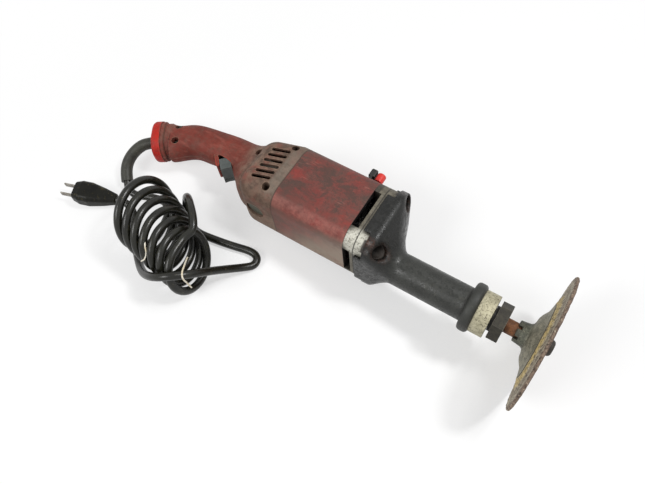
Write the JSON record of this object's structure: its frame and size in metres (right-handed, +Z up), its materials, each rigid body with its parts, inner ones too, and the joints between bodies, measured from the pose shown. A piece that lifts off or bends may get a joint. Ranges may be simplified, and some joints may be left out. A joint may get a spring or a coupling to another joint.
{
  "type": "straight grinder",
  "caption": "Hand-held electric straight grinder lying on its side: bent pistol grip, square motor body, rubber-booted spindle neck, dished grinding disc and a coiled supply cord.",
  "frame": {"origin": "on the ground, under the middle of the tool without its cord", "axes": "+X towards the disc, +Y away from the trigger side, +Z up from the bench that the tool lies on"},
  "size_m": [0.5776, 0.2405, 0.1487],
  "materials": {
    "handle_plastic": "worn brownish red moulded plastic",
    "ring_plastic": "bright red moulded plastic",
    "housing_paint": "scuffed red paint on a cast sleeve",
    "cast_aluminium": "dirty cast aluminium",
    "boot_rubber": "scuffed dark grey rubber",
    "plain_steel": "plain steel",
    "rusty_steel": "brown, lightly rusted steel",
    "zinc_steel": "dull zinc-plated steel",
    "abrasive": "resin-bonded abrasive with a fibre back",
    "lamination": "steel laminations",
    "copper": "enamelled copper wire and copper bars",
    "bronze": "sintered bronze",
    "fan_plastic": "black moulded plastic",
    "black_plastic": "black moulded plastic",
    "trigger_plastic": "dark greenish grey moulded plastic",
    "lock_plastic": "bright red moulded plastic",
    "cord_rubber": "olive black cord sheath",
    "plug_plastic": "black moulded plug"
  },
  "bodies": {
    "housing": {"handle_half_upper": "handle_plastic", "handle_half_lower": "handle_plastic", "handle_end_ring": "ring_plastic", "motor_housing": "housing_paint", "diaphragm": "cast_aluminium", "gear_case": "cast_aluminium", "rear_bearing_bridge": "cast_aluminium", "rubber_boot": "boot_rubber", "nose_seal": "boot_rubber", "gear_case_screws": "plain_steel", "handle_screws": "plain_steel", "armature_front_bearing": "plain_steel", "armature_rear_bearing": "plain_steel", "spindle_front_bearing": "plain_steel", "plug_blades": "plain_steel", "field_stator": "lamination", "field_coils": "copper", "spindle_rear_bushing": "bronze", "switch_body": "black_plastic", "brush_holders": "black_plastic", "brush_caps": "black_plastic", "carbon_brushes": "black_plastic", "cord_clamp": "black_plastic", "lock_bracket": "black_plastic", "cord_protector": "cord_rubber", "cord_lead": "cord_rubber", "cord_coil": "cord_rubber", "cord_tail": "cord_rubber", "plug_body": "plug_plastic"},
    "spindle": {"spindle": "rusty_steel", "spindle_gear": "plain_steel", "dust_slinger": "zinc_steel", "hex_nut": "rusty_steel", "backing_flange": "zinc_steel", "grinding_disc": "abrasive", "clamp_nut": "rusty_steel"},
    "armature": {"armature_shaft": "plain_steel", "armature_core": "lamination", "armature_windings": "copper", "commutator": "copper", "fan": "fan_plastic", "pinion": "plain_steel"},
    "trigger": {"trigger": "trigger_plastic"},
    "lock": {"lock_plunger": "lock_plastic"}
  },
  "joints": [
    {"name": "spindle_spin", "type": "hinge", "parent": "housing", "child": "spindle", "pos_m": [0.1907, -0.00644, 0.06882], "axis": [0.9961, 0, 0.0883], "continuous": true},
    {"name": "armature_spin", "type": "hinge", "parent": "housing", "child": "armature", "pos_m": [-0.05832, 0.01794, 0.04674], "axis": [0.9961, 0, 0.0883], "continuous": true},
    {"name": "trigger_pull", "type": "slide", "parent": "housing", "child": "trigger", "axis": [-0.7043, 0.7071, -0.0625], "range_m": [0, 0.006], "stiffness_N_per_m": 600, "springref_m": -0.004},
    {"name": "lock_push", "type": "slide", "parent": "housing", "child": "lock", "axis": [0, -1, 0], "range_m": [0, 0.005], "stiffness_N_per_m": 500, "springref_m": -0.003}
  ],
  "couplings": [
    {"joint": "armature_spin", "follows": "spindle_spin", "ratio": -1.7857}
  ]
}
